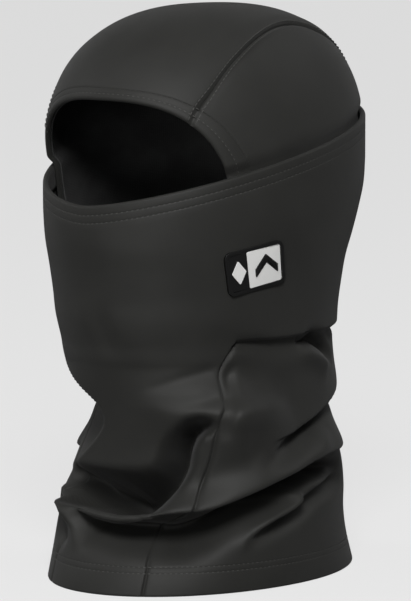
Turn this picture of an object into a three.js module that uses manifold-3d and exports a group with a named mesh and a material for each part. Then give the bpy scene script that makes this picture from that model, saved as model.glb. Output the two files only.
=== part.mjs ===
// A hinged winter balaclava, laid open as if worn: a close hood with a lined face opening, inside an
// outer tube that covers neck and jaw and whose free top edge, the mask, pulls down off the face.
// Millimetres, +Z up. The face looks along -Y and the wearer's left is +X. The origin is on the plane
// of the bottom edge, under the middle of the head.
import * as THREE from 'three';
import { ParametricGeometry } from 'three/addons/geometries/ParametricGeometry.js';
import { mergeGeometries, mergeVertices } from 'three/addons/utils/BufferGeometryUtils.js';
import Module from 'manifold-3d';

const wasm = await Module();
wasm.setup();

// ---------------------------------------------------------------- driving dimensions
// The head that the balaclava is cut for, over the fabric.
const HEAD_HALF_BREADTH = 80;
const FACE_REACH = 106;
const NAPE_REACH = 107;
const NECK_LENGTH = 140; // bottom edge to jaw seam
const CHEEK_HEIGHT = 95; // jaw seam to the head's widest level
const CROWN_RISE = 89.7; // widest level to the top
const CROWN_SQUARENESS_SIDE = 2.4;
const CROWN_SQUARENESS_FACE = 2.4;
const CROWN_SQUARENESS_NAPE = 2.75;

// Fabric layers and the room between them.
const FABRIC = 1.6;
const LINING = 0.8;
const HEM_THICKNESS = 2 * FABRIC;
const HEM_PROUD = 0.8; // how far a folded hem stands out of the fabric
const SEAM_GAP = 0.3; // between pieces that touch
const LAYER_GAP = 0.8; // between the hood and what lies over it
const SLIDE_GAP = 1.4; // between the mask and the collar that it slides over
const HOOD_STEP = 7; // height over which the hood goes in under the mask's edge
const TUCK_LENGTH = 18; // and over which it goes in further, under the collar

// Mask: the free upper part of the outer tube.
const MASK_BOTTOM = 30; // above the jaw seam
const MASK_EDGE = 77.5; // its top edge at the nose, above the jaw seam
const MASK_EDGE_RISE = 48; // how much higher the edge is at the back of the head
const MASK_HEM = 14;
const MASK_HEM_ROWS = [5.5, 10];

// Neck: bottom hem and the two curved seams between front and side panels.
const BOTTOM_HEM = 17;
const BOTTOM_HEM_ROWS = [12.6, 15.9];
const COLLAR_STEP_START = 85; // where the neck begins to step in under the mask's travel
const COLLAR_STEP_LENGTH = 15;
const SEAM_ALLOWANCE_WIDTH = 7;
const SEAM_ALLOWANCE = 1;

// Hood: face opening and crown panel.
const FACE_HALF_WIDTH = 68;
const FACE_CENTRE = 60; // above the jaw seam
const FACE_RISE = 76.3; // from that centre to the brow
const FACE_SQUARENESS = 3.2;
const FACE_FOOT_HALF_WIDTH = 50;
const FACE_HEM = 10;
const FACE_HEM_ROWS = [3.2, 6.2];
const CROWN_ROW_OFFSET = 1.2; // of each stitch row from the crown seam
const CROWN_ROW_START = 34; // degrees up from the face, clear of the face opening's stitch rows
const CROWN_ROW_END = 157;
const FACE_ROW_CLEARANCE = 10; // of the face opening's stitch rows from the mask's edge
const FACE_ROW_END = 60; // angle at which that clearance is measured

// Sewing thread, and its height over the fabric.
const THREAD = 0.7;
const THREAD_LIFT = 1;

// Moulded cheek patch.
const PATCH_WIDTH = 38;
const PATCH_HEIGHT = 25;
const PATCH_CORNER = 4;
const PATCH_RIM = 1.6;
const PATCH_LAYER = 0.5;
const PATCH_ANGLE = 67;
const PATCH_LEVEL = 42; // above the jaw seam
const PATCH_TILT = 10;
const PATCH_SPLIT = -5; // edge between its dark and light fields, from its middle
const DIAMOND_MIDDLE = PATCH_SPLIT - 6;
const DIAMOND_HALF_WIDTH = 4.6;
const DIAMOND_HALF_HEIGHT = 7;
const CHEVRON_MIDDLE = PATCH_SPLIT + 12;
const CHEVRON_REACH = 7.5;
const CHEVRON_FOOT = -5.5; // levels of its feet and of its point, on the lower side
const CHEVRON_POINT = 2;
const CHEVRON_STROKE = 5; // upright thickness

const LABEL_WIDTH = 24;
const LABEL_HEIGHT = 16;
const LABEL_THICKNESS = 0.5;
const LABEL_DROP = 8; // of its top below the jaw seam

// ---------------------------------------------------------------- levels worked out from them
const JAW = NECK_LENGTH;
const WIDEST = JAW + CHEEK_HEIGHT;
const TOP = WIDEST + CROWN_RISE;
const HOOD_BOTTOM = JAW + 2;
const MASK_START = JAW + MASK_BOTTOM;
const HEM_INSIDE = HEM_THICKNESS - HEM_PROUD;
const UNDER_MASK = HEM_INSIDE + LAYER_GAP;
const COLLAR_STEP = FABRIC + SLIDE_GAP;
const UNDER_COLLAR = COLLAR_STEP + FABRIC + LAYER_GAP;
const TUCK_START = MASK_START + 1; // the hood goes in under the collar from TUCK_END down to here
const TUCK_END = TUCK_START + TUCK_LENGTH;

// Facets round the head and from the bottom up.
const COLUMNS = 36;
const NECK_FACET_ROWS = 12;
const SEAM_STRIP_ROWS = 9; // of the neck's rows that a strip behind a seam covers
const MASK_FACET_ROWS = 6;
const DOME_FACET_ROWS = 7;
const DOME_BUNCHING = 0.8; // below 1, the dome's rows are closer together near its top
const SEAM_CUTTER_COLUMNS = 30;
const CROWN_CUTTER_STEPS = 24;
const CROWN_ROW_STEPS = 22;
const FACE_ROW_STEPS = 26;
const FACE_ARC_STEPS = 20;
const PATCH_COLUMNS = 16;

// Cutters reach this far past what they cut.
const OUTSIDE = 8;
const INSIDE = 14;
const BEYOND = 20;

const degrees = THREE.MathUtils.degToRad;
const lerp = THREE.MathUtils.lerp;
const smoothstep = THREE.MathUtils.smoothstep;

// ---------------------------------------------------------------- the outer skin
// Each row: share of the height, then how far the skin stands inside the head's breadth, face reach
// and nape reach there.
const NECK_ROWS = [
  [0, 4, -1, 9],
  [0.14, 4.5, 6, 18],
  [0.24, 5, 10.5, 21],
  [0.34, 5.5, 16.5, 20],
  [0.44, 7, 26, 21],
  [0.54, 9, 37, 26],
  [0.64, 12, 46, 30],
  [0.73, 14, 51, 30],
  [0.79, 13.5, 33, 28],
  [0.88, 12.5, 14, 27],
];
const CHEEK_ROWS = [
  [0, 11, 8, 27],
  [0.13, 8.5, 5, 25],
  [0.27, 6.5, 4, 23],
  [0.42, 4.5, 2, 20],
  [0.57, 2.5, -0.5, 13],
  [0.71, 1, -1, 7],
  [0.85, 0, -0.5, 2],
  [1, 0, 0, 0],
];
const SKIN_ROWS = [
  ...NECK_ROWS.map(([share, ...stands]) => [share * NECK_LENGTH, ...stands]),
  ...CHEEK_ROWS.map(([share, ...stands]) => [JAW + share * CHEEK_HEIGHT, ...stands]),
];

// Angle from the face of the curved neck seam, by share of the neck's length.
const NECK_SEAM_ROWS = [
  [0, 27],
  [0.24, 27],
  [0.33, 37],
  [0.42, 40],
  [0.7, 43],
  [0.8, 49],
  [1, 62],
];

// Half the crown panel's width as a share of the head's, by place from the face, -1, to the nape, 1.
const CROWN_SEAM_ROWS = [
  [-0.93, 0.625],
  [-0.71, 0.662],
  [-0.58, 0.7],
  [-0.45, 0.702],
  [-0.29, 0.681],
  [-0.09, 0.629],
  [0.06, 0.579],
  [0.22, 0.531],
  [0.56, 0.5],
  [1, 0.475],
];

/** The values of a smooth curve through the rows, each a position and its values. */
function readRows(rows, position) {
  let index = 0;
  while (index < rows.length - 2 && position > rows[index + 1][0]) {
    index += 1;
  }
  const start = rows[index];
  const end = rows[index + 1];
  const before = rows[Math.max(index - 1, 0)];
  const after = rows[Math.min(index + 2, rows.length - 1)];
  const span = end[0] - start[0];
  const t = THREE.MathUtils.clamp((position - start[0]) / span, 0, 1);
  return start.slice(1).map((value, i) => {
    const column = i + 1;
    const leave = (span * (end[column] - before[column])) / (end[0] - before[0]);
    const arrive = (span * (after[column] - start[column])) / (after[0] - start[0]);
    const rise = end[column] - value;
    return value + t * (leave + t * (3 * rise - 2 * leave - arrive + t * (leave + arrive - 2 * rise)));
  });
}

/** The point of the skin, or of a layer inset from it, at an angle from the face and a height. */
function skinPoint(angle, height, inset = 0) {
  const [sideIn, frontIn, backIn] = readRows(SKIN_ROWS, Math.min(height, WIDEST));
  const rise = THREE.MathUtils.clamp(height - WIDEST, 0, CROWN_RISE);
  const shrink = (power) => (1 - (rise / CROWN_RISE) ** power) ** (1 / power);
  const isFront = Math.cos(angle) > 0;
  const reach = isFront ? FACE_REACH - frontIn : NAPE_REACH - backIn;
  const squareness = isFront ? CROWN_SQUARENESS_FACE : CROWN_SQUARENESS_NAPE;
  return new THREE.Vector3(
    (HEAD_HALF_BREADTH - sideIn - inset) * shrink(CROWN_SQUARENESS_SIDE) * Math.sin(angle),
    -(reach - inset) * shrink(squareness) * Math.cos(angle),
    height - (rise * inset) / CROWN_RISE,
  );
}

/** Height of the mask's top edge, lowest at the nose and highest at the back of the head. */
function maskEdge(angle) {
  return JAW + MASK_EDGE + MASK_EDGE_RISE * Math.abs(Math.sin(angle / 2)) ** 1.5;
}

/** A point of the mask: it stays upright where the head narrows, so its edge stands off the hood. */
function maskPoint(angle, height, inset) {
  return skinPoint(angle, Math.min(height, WIDEST), inset).setZ(height);
}

/** How far the collar stands in, so that the mask can slide down over it. */
function collarInset(height) {
  return COLLAR_STEP * smoothstep(height, COLLAR_STEP_START, COLLAR_STEP_START + COLLAR_STEP_LENGTH);
}

/** How far the hood stands in: nothing above the mask's edge, then under the mask, then the collar. */
function hoodInset(angle, height) {
  const edge = maskEdge(angle) + LAYER_GAP;
  const covered = 1 - smoothstep(height, edge, edge + HOOD_STEP);
  const tucked = 1 - smoothstep(height, TUCK_START, TUCK_END);
  return covered * lerp(UNDER_MASK, UNDER_COLLAR, tucked);
}

/** Angle from the face of the left neck seam at a height. */
function neckSeamAngle(height) {
  return degrees(readRows(NECK_SEAM_ROWS, height / NECK_LENGTH)[0]);
}

// ---------------------------------------------------------------- solids
/** A solid from closed geometry, with shared vertices merged and collapsed triangles left out. */
function solidFrom(geometry) {
  geometry.deleteAttribute('normal');
  geometry.deleteAttribute('uv');
  const merged = mergeVertices(geometry, 1e-4);
  const triangles = [];
  for (let i = 0; i < merged.index.count; i += 3) {
    const [a, b, c] = [0, 1, 2].map((corner) => merged.index.getX(i + corner));
    if (a !== b && b !== c && c !== a) {
      triangles.push(a, b, c);
    }
  }
  const mesh = new wasm.Mesh({
    numProp: 3,
    vertProperties: new Float32Array(merged.attributes.position.array),
    triVerts: new Uint32Array(triangles),
  });
  return new wasm.Manifold(mesh);
}

function geometryFrom(solid) {
  const mesh = solid.getMesh();
  const geometry = new THREE.BufferGeometry();
  geometry.setAttribute('position', new THREE.BufferAttribute(Float32Array.from(mesh.vertProperties), 3));
  geometry.setIndex(new THREE.BufferAttribute(Uint32Array.from(mesh.triVerts), 1));
  geometry.computeVertexNormals();
  return geometry;
}

/**
 * A curved slab between two surfaces over the same grid. outer and inner take u and v, each 0 to 1,
 * with u turning leftwards round the head and v going up. A wrapping slab meets itself at u = 0 and 1.
 */
function slab(outer, inner, columns, rows, wraps = false) {
  const face = (pointAt, across, along) =>
    new ParametricGeometry((u, v, target) => target.copy(pointAt(u, v)), across, along);
  const rim = (u, v, depth) => outer(u, v).lerp(inner(u, v), depth);
  const faces = [
    face(outer, columns, rows),
    face((u, v) => inner(1 - u, v), columns, rows),
    face((u, depth) => rim(1 - u, 0, depth), columns, 1),
    face((u, depth) => rim(u, 1, depth), columns, 1),
  ];
  if (!wraps) {
    faces.push(face((v, depth) => rim(0, v, depth), rows, 1));
    faces.push(face((v, depth) => rim(1, 1 - v, depth), rows, 1));
  }
  return solidFrom(mergeGeometries(faces));
}

/**
 * A slab that follows the skin, or the mask. place gives angle and height; depth gives its two insets.
 */
function skinSlab(place, depth, columns, rows, wraps = false, pointAt = skinPoint) {
  const surface = (side) => (u, v) => {
    const [angle, height] = place(u, v);
    return pointAt(angle, height, depth(angle, height)[side]);
  };
  return slab(surface(0), surface(1), columns, rows, wraps);
}

/** Angles that run once round the head from the centre back, stopping short of it by a gap. */
function roundFromBack(u, gap = 0) {
  const margin = gap / 2 / HEAD_HALF_BREADTH;
  return lerp(margin - Math.PI, Math.PI - margin, u);
}

/** The part of a solid on the wearer's left (side 1) or right (side -1). */
function half(solid, side) {
  return solid.decompose().find((body) => {
    const box = body.boundingBox();
    return side * (box.min[0] + box.max[0]) > 0;
  });
}

class PathThrough extends THREE.Curve {
  constructor(pointAt) {
    super();
    this.pointAt = pointAt;
  }

  getPoint(t, target = new THREE.Vector3()) {
    return target.copy(this.pointAt(t));
  }
}

/** One row of sewing thread along a path. */
function thread(pointAt, steps) {
  const r = THREAD / 2;
  const section = new THREE.Shape([
    new THREE.Vector2(r, -r),
    new THREE.Vector2(0, r),
    new THREE.Vector2(-r, -r),
  ]);
  const path = new PathThrough(pointAt);
  return solidFrom(new THREE.ExtrudeGeometry(section, { steps, extrudePath: path, bevelEnabled: false }));
}

/** A prism of a front-view outline, in x and height, that reaches from the middle out past the face. */
function frontPrism(outline) {
  const prism = new THREE.ExtrudeGeometry(outline, { depth: FACE_REACH + BEYOND, bevelEnabled: false });
  prism.rotateX(Math.PI / 2);
  prism.translate(0, -OUTSIDE, 0);
  return solidFrom(prism);
}

// ---------------------------------------------------------------- hood
/** Outline of the face opening, grown by a margin, as a front view. */
function faceOutline(margin) {
  const centre = JAW + FACE_CENTRE;
  const corner = 2 / FACE_SQUARENESS;
  const foot = HOOD_BOTTOM - BEYOND;
  const points = [new THREE.Vector2(FACE_FOOT_HALF_WIDTH + margin, foot)];
  for (let i = 0; i <= FACE_ARC_STEPS; i += 1) {
    const turn = (Math.PI * i) / FACE_ARC_STEPS;
    const across = Math.sign(Math.cos(turn)) * Math.abs(Math.cos(turn)) ** corner;
    points.push(new THREE.Vector2(
      (FACE_HALF_WIDTH + margin) * across,
      centre + (FACE_RISE + margin) * Math.abs(Math.sin(turn)) ** corner,
    ));
  }
  points.push(new THREE.Vector2(-FACE_FOOT_HALF_WIDTH - margin, foot));
  return new THREE.Shape(points);
}

/** Heights of the hood's facet rows at an angle, from its bottom past the mask's edge to its top. */
function hoodLevels(angle) {
  const edge = maskEdge(angle) + LAYER_GAP;
  const clear = edge + HOOD_STEP;
  const levels = [HOOD_BOTTOM, TUCK_START, TUCK_END, (TUCK_END + edge) / 2, edge];
  for (let row = 0; row <= DOME_FACET_ROWS; row += 1) {
    const turn = (row / DOME_FACET_ROWS) * (Math.PI / 2);
    levels.push(lerp(clear, TOP, Math.sin(turn) ** DOME_BUNCHING));
  }
  return levels;
}

/** A closed dome inside the hood's outer face by a depth, cut flat at its bottom. */
function hoodDome(depth) {
  const rows = hoodLevels(0).length - 1;
  const side = (u, v) => {
    const angle = roundFromBack(u);
    const height = hoodLevels(angle)[Math.round(v * rows)];
    const drop = v === 0 ? depth : 0;
    return skinPoint(angle, height - drop, hoodInset(angle, height) + depth);
  };
  const floorMiddle = new THREE.Vector3(0, 0, HOOD_BOTTOM - depth);
  const faces = [
    new ParametricGeometry((u, v, target) => target.copy(side(u, v)), COLUMNS, rows),
    new ParametricGeometry((u, v, target) => target.copy(side(1 - u, 0)).lerp(floorMiddle, v), COLUMNS, 1),
  ];
  return solidFrom(mergeGeometries(faces));
}

function hoodShell(depth, thickness) {
  return hoodDome(depth).subtract(hoodDome(depth + thickness));
}

/** Half the crown panel's width at a distance back from the middle of the head. */
function crownHalfWidth(y) {
  return HEAD_HALF_BREADTH * readRows(CROWN_SEAM_ROWS, y / NAPE_REACH)[0];
}

/** An upright prism over the crown panel, grown sideways by a margin. */
function crownPrism(margin) {
  const end = NAPE_REACH + BEYOND;
  const corners = [];
  for (const side of [-1, 1]) {
    for (let i = 0; i <= CROWN_CUTTER_STEPS; i += 1) {
      const y = side * lerp(-end, end, i / CROWN_CUTTER_STEPS);
      corners.push(new THREE.Vector2(side * (crownHalfWidth(y) + margin), y));
    }
  }
  const prism = new THREE.ExtrudeGeometry(new THREE.Shape(corners), { depth: TOP, bevelEnabled: false });
  prism.translate(0, 0, HOOD_BOTTOM - 2 * BEYOND);
  return solidFrom(prism);
}

/** The last point inside the hood's outer face, going out from start along a direction. */
function reachHood(start, direction, lift) {
  let near = 0;
  let far = 2 * NAPE_REACH;
  for (let halving = 0; halving < 40; halving += 1) {
    const middle = (near + far) / 2;
    const point = start.clone().addScaledVector(direction, middle);
    if (isInsideSkin(point, -lift)) {
      near = middle;
    } else {
      far = middle;
    }
  }
  return start.clone().addScaledVector(direction, near);
}

function isInsideSkin(point, inset) {
  const rise = point.z - WIDEST;
  const height = rise > 0 ? WIDEST + (rise * CROWN_RISE) / (CROWN_RISE - inset) : point.z;
  if (height >= TOP) {
    return false;
  }
  const side = skinPoint(Math.PI / 2, height, inset).x;
  const long = skinPoint(point.y < 0 ? 0 : Math.PI, height, inset).y;
  return (point.x / side) ** 2 + (point.y / long) ** 2 < 1;
}

/** A point over the crown seam, or beside it by an offset, up from the face by an angle. */
function crownSeamPoint(side, offset, turn) {
  const direction = new THREE.Vector3(0, -Math.cos(turn), Math.sin(turn));
  let point = new THREE.Vector3();
  for (let guess = 0; guess < 6; guess += 1) {
    const x = side * (crownHalfWidth(point.y) + offset);
    point = reachHood(new THREE.Vector3(x, 0, WIDEST), direction, THREAD_LIFT);
  }
  return point;
}

/** A stitch row along the crown seam, from behind the brow to where the mask covers the hood. */
function crownRow(side, offset) {
  const start = degrees(CROWN_ROW_START);
  const end = degrees(CROWN_ROW_END);
  return thread((t) => crownSeamPoint(side, offset, lerp(start, end, t)), CROWN_ROW_STEPS);
}

/** A stitch row round the face opening, where the mask leaves it in sight. */
function faceRow(margin) {
  const outline = faceOutline(margin);
  const low = maskEdge(degrees(FACE_ROW_END)) + FACE_ROW_CLEARANCE;
  const points = outline.getPoints().filter((point) => point.y > low);
  const arc = new THREE.SplineCurve(points);
  return thread((t) => {
    const point = arc.getPoint(t);
    const start = new THREE.Vector3(point.x, 0, point.y);
    return reachHood(start, new THREE.Vector3(0, -1, 0), THREAD_LIFT);
  }, FACE_ROW_STEPS);
}

function makeHood() {
  const opening = frontPrism(faceOutline(0));
  const hemmed = frontPrism(faceOutline(FACE_HEM));
  const hemmedWithGap = frontPrism(faceOutline(FACE_HEM + SEAM_GAP));
  const shell = hoodShell(0, FABRIC);
  const panels = shell.subtract(hemmedWithGap);
  const sides = panels.subtract(crownPrism(SEAM_GAP / 2));
  const lining = hoodShell(FABRIC + SEAM_GAP, LINING);
  return {
    crown_panel: panels.intersect(crownPrism(-SEAM_GAP / 2)),
    hood_side_left: half(sides, 1),
    hood_side_right: half(sides, -1),
    face_opening_hem: shell.intersect(hemmed).subtract(opening),
    hood_lining: lining.subtract(frontPrism(faceOutline(2))),
    face_hem_thread_inner: faceRow(FACE_HEM_ROWS[0]),
    face_hem_thread_outer: faceRow(FACE_HEM_ROWS[1]),
    crown_seam_thread_left_inner: crownRow(1, -CROWN_ROW_OFFSET),
    crown_seam_thread_left_outer: crownRow(1, CROWN_ROW_OFFSET),
    crown_seam_thread_right_inner: crownRow(-1, -CROWN_ROW_OFFSET),
    crown_seam_thread_right_outer: crownRow(-1, CROWN_ROW_OFFSET),
  };
}

// ---------------------------------------------------------------- mask
function makeMask() {
  const hemRow = (below) => thread((t) => {
    const angle = roundFromBack(t, 8);
    return maskPoint(angle, maskEdge(angle) - below, -HEM_PROUD - THREAD_LIFT);
  }, COLUMNS);
  return {
    mask_panel: skinSlab(
      (u, v) => {
        const angle = roundFromBack(u, SEAM_GAP);
        return [angle, lerp(MASK_START, maskEdge(angle) - MASK_HEM - SEAM_GAP, v)];
      },
      () => [0, FABRIC],
      COLUMNS,
      MASK_FACET_ROWS,
      false,
      maskPoint,
    ),
    mask_top_hem: skinSlab(
      (u, v) => {
        const angle = roundFromBack(u);
        return [angle, lerp(maskEdge(angle) - MASK_HEM, maskEdge(angle), v)];
      },
      () => [-HEM_PROUD, HEM_INSIDE],
      COLUMNS,
      1,
      true,
      maskPoint,
    ),
    mask_hem_thread_upper: hemRow(MASK_HEM_ROWS[0]),
    mask_hem_thread_lower: hemRow(MASK_HEM_ROWS[1]),
    mask_back_seam_thread: thread((t) => {
      const angle = Math.PI - CROWN_ROW_OFFSET / HEAD_HALF_BREADTH;
      return maskPoint(angle, lerp(MASK_START + 2, maskEdge(angle) - MASK_HEM - 2, t), -THREAD_LIFT);
    }, 2 * MASK_FACET_ROWS),
  };
}

// ---------------------------------------------------------------- neck
/** A thick sector round the back of the neck, between its two seams, with a margin at each. */
function neckSideCutter(margin) {
  return skinSlab(
    (u, v) => {
      const height = lerp(BOTTOM_HEM - 10, JAW + margin / 2, v);
      const start = neckSeamAngle(height) - margin / 2 / HEAD_HALF_BREADTH;
      return [lerp(start, 2 * Math.PI - start, u), height];
    },
    () => [-OUTSIDE, INSIDE],
    SEAM_CUTTER_COLUMNS,
    NECK_FACET_ROWS,
  );
}

/** Height of a facet row of the neck's tube, from its bottom row, 0, to its top one. */
function tubeHeight(row) {
  return lerp(BOTTOM_HEM + SEAM_GAP, MASK_START - SEAM_GAP, row / NECK_FACET_ROWS);
}

/** A strip inside the neck's tube, behind a seam whose angle from the face is given by height. */
function seamStrip(seamAngle) {
  const halfAngle = SEAM_ALLOWANCE_WIDTH / 2 / HEAD_HALF_BREADTH;
  return skinSlab(
    (u, v) => {
      const height = tubeHeight(v * SEAM_STRIP_ROWS);
      return [seamAngle(height) + lerp(-halfAngle, halfAngle, u), height];
    },
    (angle, height) => {
      const inside = collarInset(height) + FABRIC + LAYER_GAP;
      return [inside, inside + SEAM_ALLOWANCE];
    },
    1,
    SEAM_STRIP_ROWS,
  );
}

function makeNeck() {
  const tube = skinSlab(
    (u, v) => [roundFromBack(u, SEAM_GAP), tubeHeight(v * NECK_FACET_ROWS)],
    (angle, height) => [collarInset(height), collarInset(height) + FABRIC],
    COLUMNS,
    NECK_FACET_ROWS,
  );
  const sides = tube.intersect(neckSideCutter(-SEAM_GAP));
  const hemRow = (height) => thread((t) => skinPoint(roundFromBack(t, 8), height, -THREAD_LIFT), COLUMNS);
  return {
    front_neck_panel: tube.subtract(neckSideCutter(SEAM_GAP)),
    neck_side_left: half(sides, 1),
    neck_side_right: half(sides, -1),
    bottom_hem: skinSlab(
      (u, v) => [roundFromBack(u), BOTTOM_HEM * v],
      () => [0, HEM_THICKNESS],
      COLUMNS,
      2,
      true,
    ),
    bottom_hem_thread_upper: hemRow(BOTTOM_HEM_ROWS[1]),
    bottom_hem_thread_lower: hemRow(BOTTOM_HEM_ROWS[0]),
    neck_seam_allowance_left: seamStrip((height) => neckSeamAngle(height)),
    neck_seam_allowance_right: seamStrip((height) => -neckSeamAngle(height)),
    centre_back_seam_tape: seamStrip(() => Math.PI),
    care_label: careLabel(),
  };
}

/** A blank label that hangs inside the nape, below the jaw seam. */
function careLabel() {
  const inside = COLLAR_STEP + FABRIC + LAYER_GAP + SEAM_ALLOWANCE + LAYER_GAP;
  const halfAngle = LABEL_WIDTH / 2 / HEAD_HALF_BREADTH;
  const top = JAW - LABEL_DROP;
  return skinSlab(
    (u, v) => [Math.PI + lerp(-halfAngle, halfAngle, u), lerp(top - LABEL_HEIGHT, top, v)],
    () => [inside, inside + LABEL_THICKNESS],
    4,
    2,
  );
}

// ---------------------------------------------------------------- cheek patch
/** The patch's own frame on the skin: across towards the nape, up, and out. */
function patchPoint(across, up, lift) {
  const tilt = degrees(PATCH_TILT);
  const level = JAW + PATCH_LEVEL;
  const turned = across * Math.cos(tilt) - up * Math.sin(tilt);
  const raised = across * Math.sin(tilt) + up * Math.cos(tilt);
  const arcPerRadian = skinPoint(degrees(PATCH_ANGLE + 1), level)
    .distanceTo(skinPoint(degrees(PATCH_ANGLE), level)) / degrees(1);
  return skinPoint(degrees(PATCH_ANGLE) + turned / arcPerRadian, level + raised, -lift);
}

/** Half the height of a rounded rectangle at a distance from its middle. */
function roundedHalfHeight(across, halfWidth, halfHeight, corner) {
  const past = Math.max(Math.abs(across) - (halfWidth - corner), 0);
  return halfHeight - corner + Math.sqrt(Math.max(corner ** 2 - past ** 2, 0));
}

/** A bent plate with rounded corners, cut straight at two places across it. */
function patchPlate(inset, from, to, low, high) {
  const halfWidth = PATCH_WIDTH / 2 - inset;
  const halfHeight = PATCH_HEIGHT / 2 - inset;
  const corner = Math.max(PATCH_CORNER - inset, 0.5);
  const surface = (lift) => (u, v) => {
    const across = lerp(Math.max(from, -halfWidth), Math.min(to, halfWidth), u);
    const tall = roundedHalfHeight(across, halfWidth, halfHeight, corner);
    return patchPoint(across, lerp(-tall, tall, v), lift);
  };
  return slab(surface(high), surface(low), PATCH_COLUMNS, 2);
}

/** A flat raised mark in the patch's own frame. */
function patchMark(corners, low, high) {
  const outline = new THREE.Shape(corners.map(([across, up]) => new THREE.Vector2(across, up)));
  const mark = new THREE.ExtrudeGeometry(outline, { depth: high - low, bevelEnabled: false });
  const place = mark.attributes.position;
  for (let i = 0; i < place.count; i += 1) {
    const point = patchPoint(place.getX(i), place.getY(i), low + place.getZ(i));
    place.setXYZ(i, point.x, point.y, point.z);
  }
  return solidFrom(mark);
}

function makePatch() {
  const base = SEAM_GAP;
  const field = base + PATCH_LAYER + SEAM_GAP;
  const fieldTop = field + PATCH_LAYER;
  const mark = field + PATCH_LAYER + SEAM_GAP;
  const inner = PATCH_RIM + LAYER_GAP;
  const all = PATCH_WIDTH;
  const rimTop = mark + PATCH_LAYER;
  const left = CHEVRON_MIDDLE - CHEVRON_REACH;
  const right = CHEVRON_MIDDLE + CHEVRON_REACH;
  return {
    patch_base: patchPlate(0, -all, all, base, base + PATCH_LAYER),
    patch_rim: patchPlate(0, -all, all, field, rimTop)
      .subtract(patchPlate(PATCH_RIM, -all, all, field - 1, rimTop + 1)),
    patch_dark_field: patchPlate(inner, -all, PATCH_SPLIT, field, fieldTop),
    patch_light_field: patchPlate(inner, PATCH_SPLIT + SEAM_GAP, all, field, fieldTop),
    patch_light_mark: patchMark(
      [
        [DIAMOND_MIDDLE - DIAMOND_HALF_WIDTH, 0],
        [DIAMOND_MIDDLE, -DIAMOND_HALF_HEIGHT],
        [DIAMOND_MIDDLE + DIAMOND_HALF_WIDTH, 0],
        [DIAMOND_MIDDLE, DIAMOND_HALF_HEIGHT],
      ],
      mark,
      rimTop,
    ),
    patch_dark_mark: patchMark(
      [
        [left, CHEVRON_FOOT],
        [CHEVRON_MIDDLE, CHEVRON_POINT],
        [right, CHEVRON_FOOT],
        [right, CHEVRON_FOOT + CHEVRON_STROKE],
        [CHEVRON_MIDDLE, CHEVRON_POINT + CHEVRON_STROKE],
        [left, CHEVRON_FOOT + CHEVRON_STROKE],
      ],
      mark,
      rimTop,
    ),
  };
}

// ---------------------------------------------------------------- materials and assembly
const fabric = (color) => ({ color, roughness: 0.85, metalness: 0 });
const MATERIALS = {
  shell: fabric(0x353534),
  lining: fabric(0x101010),
  hem: fabric(0x3b3b3a),
  thread: { color: 0x2c2c2c, roughness: 0.6, metalness: 0 },
  label: { color: 0xd8d8d6, roughness: 0.8, metalness: 0 },
  rubber_dark: { color: 0x151515, roughness: 0.45, metalness: 0 },
  rubber_light: { color: 0xe8e8e6, roughness: 0.45, metalness: 0 },
};

function materialName(node) {
  const rules = [
    [/thread/, 'thread'],
    [/patch_light/, 'rubber_light'],
    [/patch/, 'rubber_dark'],
    [/lining/, 'lining'],
    [/label/, 'label'],
    [/hem|allowance|tape/, 'hem'],
  ];
  const rule = rules.find(([pattern]) => pattern.test(node));
  return rule ? rule[1] : 'shell';
}

const balaclava = new THREE.Group();
balaclava.name = 'balaclava';
for (const group of [makeHood(), makeNeck(), makeMask(), makePatch()]) {
  for (const [node, solid] of Object.entries(group)) {
    const material = new THREE.MeshStandardMaterial(MATERIALS[materialName(node)]);
    const mesh = new THREE.Mesh(geometryFrom(solid), material);
    mesh.name = node;
    balaclava.add(mesh);
  }
}

export default balaclava;
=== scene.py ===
"""The looks of a hinged winter balaclava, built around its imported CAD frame.

Lengths are in millimetres here, as in the part's source, and make_mesh() turns them to metres. Angles
turn leftwards from the middle of the face, in degrees, and +Z is up.
"""

import math

import bpy
import numpy as np
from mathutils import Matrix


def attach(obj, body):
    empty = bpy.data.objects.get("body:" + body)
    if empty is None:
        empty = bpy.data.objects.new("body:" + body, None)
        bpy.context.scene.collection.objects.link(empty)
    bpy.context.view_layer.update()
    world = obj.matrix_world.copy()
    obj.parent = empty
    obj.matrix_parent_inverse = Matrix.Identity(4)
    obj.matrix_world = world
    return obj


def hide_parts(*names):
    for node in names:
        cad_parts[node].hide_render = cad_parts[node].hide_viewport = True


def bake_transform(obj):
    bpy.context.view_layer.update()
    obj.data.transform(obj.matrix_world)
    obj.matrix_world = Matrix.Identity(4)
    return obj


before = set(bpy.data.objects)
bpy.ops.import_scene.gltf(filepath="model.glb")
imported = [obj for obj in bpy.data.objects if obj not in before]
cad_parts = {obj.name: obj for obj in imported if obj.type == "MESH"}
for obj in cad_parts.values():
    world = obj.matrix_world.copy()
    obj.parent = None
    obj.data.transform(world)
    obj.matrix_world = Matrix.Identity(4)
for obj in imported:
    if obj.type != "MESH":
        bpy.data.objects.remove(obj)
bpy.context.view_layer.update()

METRES = 0.001

# ---------------------------------------------------------------- driving sizes, as in the part's source
HEAD_HALF_BREADTH = 80
FACE_REACH = 106
NAPE_REACH = 107
JAW = 140  # height of the jaw seam
WIDEST = 235
CROWN_RISE = 89.7
TOP = WIDEST + CROWN_RISE
SQUARENESS_SIDE = 2.4
SQUARENESS_FACE = 2.4
SQUARENESS_NAPE = 2.75

FABRIC = 1.5
LINING = 0.8
LINING_EDGE = 1.4  # from the face opening's edge
UNDER_MASK = 3.2  # how far the hood stands in under the mask's edge
UNDER_COLLAR = 5.4
HOOD_STEP_START = 0.8  # above the mask's edge
HOOD_STEP = 7
HOOD_BOTTOM = 122  # further down than the solid, to stay behind the mask when it is pulled down
TUCK_START = 171
TUCK_END = 189

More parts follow.
